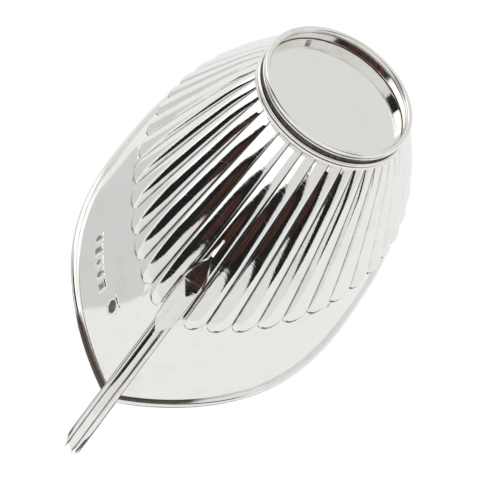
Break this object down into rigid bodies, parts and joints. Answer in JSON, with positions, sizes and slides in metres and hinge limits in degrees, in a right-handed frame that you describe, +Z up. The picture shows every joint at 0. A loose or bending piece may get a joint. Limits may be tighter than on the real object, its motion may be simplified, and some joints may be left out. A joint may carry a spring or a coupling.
{
  "type": "silver sauce boat",
  "caption": "Navette-shaped sauce boat with a fluted bowl, plain band, wired rim, low round foot and a reeded strap handle that rises over the rim.",
  "frame": {"origin": "on the foot's axis, on the surface that the foot stands on", "axes": "+X towards the pouring lip, -X towards the handle, +Z up; the XZ plane is the plane of symmetry"},
  "size_m": [0.1836, 0.0838, 0.0809],
  "materials": {
    "bowl_silver": "bright polished silver",
    "rim_silver": "bright polished silver wire",
    "foot_silver": "polished silver with worn edge and patina in the corners",
    "handle_silver": "polished silver, worn on the high ribs"
  },
  "bodies": {
    "root": {"bowl": "bowl_silver", "floor_plate": "foot_silver", "rim_wire_left": "rim_silver", "rim_wire_right": "rim_silver", "foot_collar": "foot_silver", "foot_ring": "foot_silver", "foot_edge_wire": "foot_silver", "handle_strap": "handle_silver", "handle_tongue": "handle_silver"}
  },
  "joints": []
}
